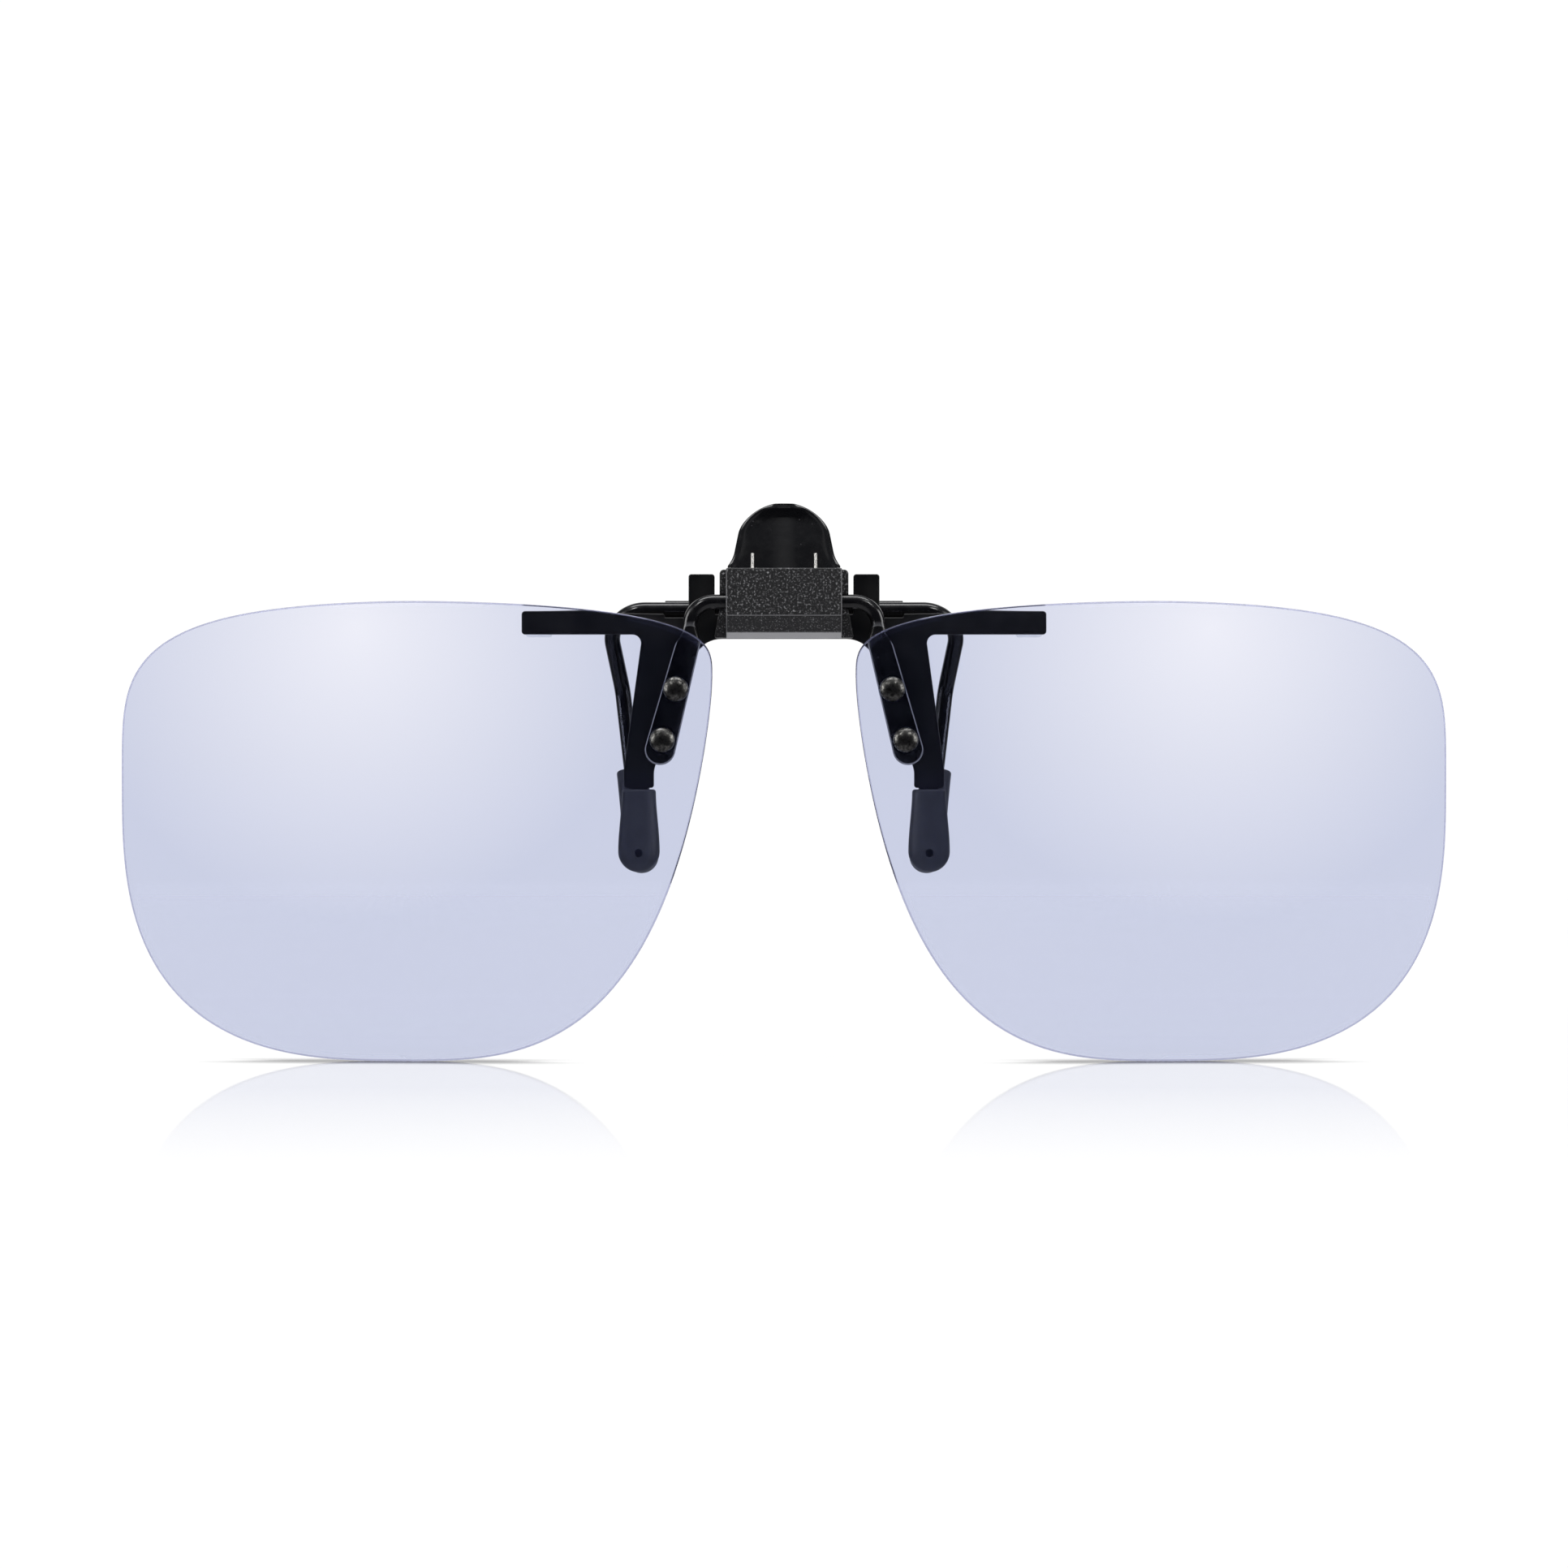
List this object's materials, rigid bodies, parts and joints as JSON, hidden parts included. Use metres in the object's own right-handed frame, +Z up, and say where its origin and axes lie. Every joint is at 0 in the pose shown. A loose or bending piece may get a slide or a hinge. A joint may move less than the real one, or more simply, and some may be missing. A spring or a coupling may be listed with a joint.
{
  "type": "clip-on flip lenses",
  "caption": "Flip-up clip-on lenses: two rimless tinted lenses riveted to a bridge wire that turns in a small housing on a spring-loaded jaw clip with soft tips and a thumb lever.",
  "frame": {"origin": "on the mid-plane, in the middle of the front jaw plate's thickness, level with the pivot of the rear jaw wire: the middle of the spectacles' bridge when the part is worn", "axes": "+X across the face (towards the right-hand side of a person who looks at the front), +Z up, -Y out of the front of the lenses"},
  "size_m": [0.137, 0.0158, 0.058],
  "materials": {
    "tinted_lens": "polished tinted polycarbonate with a blue-violet reflective coating",
    "clear_silicone": "clear soft silicone",
    "black_rubber": "matte blue-black vinyl rubber",
    "spring_steel": "bright spring steel",
    "gunmetal": "worn gunmetal plate",
    "black_steel": "black electrophoretic coating, semi-gloss",
    "grained_plastic": "coarse spark-eroded grain",
    "gloss_plastic": "polished moulding"
  },
  "bodies": {
    "clip": {"arm_pad_left": "clear_silicone", "arm_pad_right": "clear_silicone", "flip_detent_leaf": "spring_steel", "front_jaw_plate": "black_steel", "front_tip_left": "black_rubber", "front_tip_right": "black_rubber", "housing_base": "grained_plastic", "housing_cover": "grained_plastic", "housing_screw_left": "spring_steel", "housing_screw_right": "spring_steel", "jaw_spring": "spring_steel"},
    "lens_set": {"lens_bridge_wire": "black_steel", "lens_left": "tinted_lens", "lens_right": "tinted_lens", "rivet_lower_left": "gunmetal", "rivet_lower_right": "gunmetal", "rivet_upper_left": "gunmetal", "rivet_upper_right": "gunmetal", "washer_lower_left": "clear_silicone", "washer_lower_right": "clear_silicone", "washer_upper_left": "clear_silicone", "washer_upper_right": "clear_silicone"},
    "rear_jaw": {"rear_jaw_wire": "black_steel", "rear_tip_left": "black_rubber", "rear_tip_right": "black_rubber", "thumb_lever": "gloss_plastic"}
  },
  "joints": [
    {"name": "lens_flip", "type": "hinge", "parent": "clip", "child": "lens_set", "pos_m": [0, -0.00313, 0.00071], "axis": [-1, 0, 0], "range_deg": [0, 90]},
    {"name": "jaw_open", "type": "hinge", "parent": "clip", "child": "rear_jaw", "pos_m": [0, 0.00205, 0], "axis": [1, 0, 0], "range_deg": [0, 32], "stiffness_Nm_per_rad": 0.05, "springref_deg": -28.65, "deforming": ["jaw_spring"]}
  ]
}
